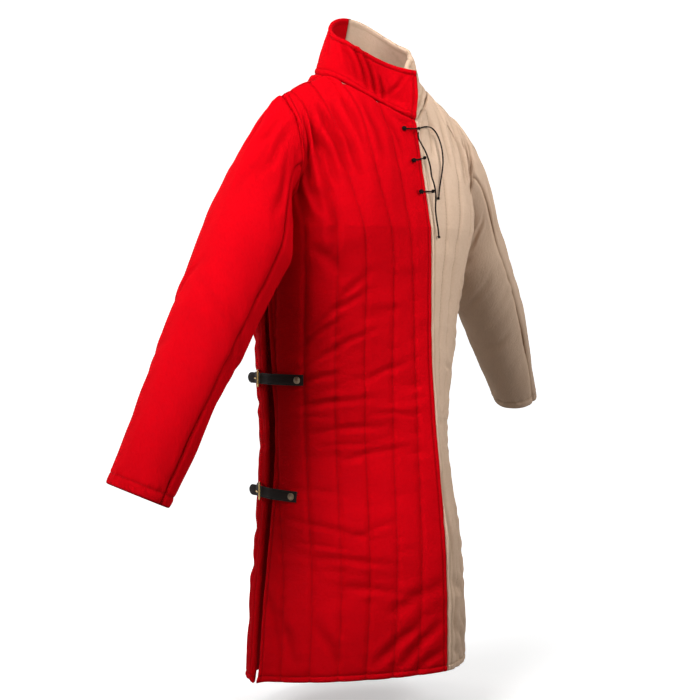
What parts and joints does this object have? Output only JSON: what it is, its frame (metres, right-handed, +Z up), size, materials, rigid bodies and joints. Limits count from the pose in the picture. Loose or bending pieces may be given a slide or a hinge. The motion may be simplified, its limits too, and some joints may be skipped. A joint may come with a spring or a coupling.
{
  "type": "quilted gambeson",
  "caption": "Quilted padded coat in two colours with a stand collar, long sleeves, laced chest and buckled side straps, filled out as if worn.",
  "frame": {"origin": "middle of the neck base, level with the two neck ends of the shoulder seams", "axes": "+Z up, -Y towards the front of the coat, -X towards the right side of whoever wears it"},
  "size_m": [0.9959, 0.3531, 1.0883],
  "materials": {
    "red_cloth": "deep red plain-woven cotton or linen, matt, quilted over wadding",
    "ecru_cloth": "undyed natural plain-woven cotton or linen, matt, quilted over wadding",
    "leather": "dark brown oiled leather, slightly waxy",
    "brass": "aged brass, dulled in its hollows",
    "lace_cord": "dark brown round braided lace"
  },
  "bodies": {
    "root": {"back_left": "ecru_cloth", "back_right": "red_cloth", "buckle_lower_left": "brass", "buckle_lower_right": "brass", "buckle_upper_left": "brass", "buckle_upper_right": "brass", "chape_lower_left": "leather", "chape_lower_right": "leather", "chape_upper_left": "leather", "chape_upper_right": "leather", "collar_left": "ecru_cloth", "collar_right": "red_cloth", "front_left": "ecru_cloth", "front_right": "red_cloth", "lace_end_knot_long": "lace_cord", "lace_end_knot_short": "lace_cord", "lace_end_long": "lace_cord", "lace_end_short": "lace_cord", "lace_knot_left_1": "lace_cord", "lace_knot_left_2": "lace_cord", "lace_knot_left_3": "lace_cord", "lace_knot_right_1": "lace_cord", "lace_knot_right_2": "lace_cord", "lace_knot_right_3": "lace_cord", "lace_tie_1": "lace_cord", "lace_tie_2": "lace_cord", "lace_tie_3": "lace_cord", "prong_lower_left": "brass", "prong_lower_right": "brass", "prong_upper_left": "brass", "prong_upper_right": "brass", "rivet_back_lower_left": "brass", "rivet_back_lower_right": "brass", "rivet_back_upper_left": "brass", "rivet_back_upper_right": "brass", "rivet_front_lower_left": "brass", "rivet_front_lower_right": "brass", "rivet_front_upper_left": "brass", "rivet_front_upper_right": "brass", "sleeve_under_left": "ecru_cloth", "sleeve_under_right": "red_cloth", "sleeve_upper_left": "ecru_cloth", "sleeve_upper_right": "red_cloth", "strap_lower_left": "leather", "strap_lower_right": "leather", "strap_upper_left": "leather", "strap_upper_right": "leather"}
  },
  "joints": []
}
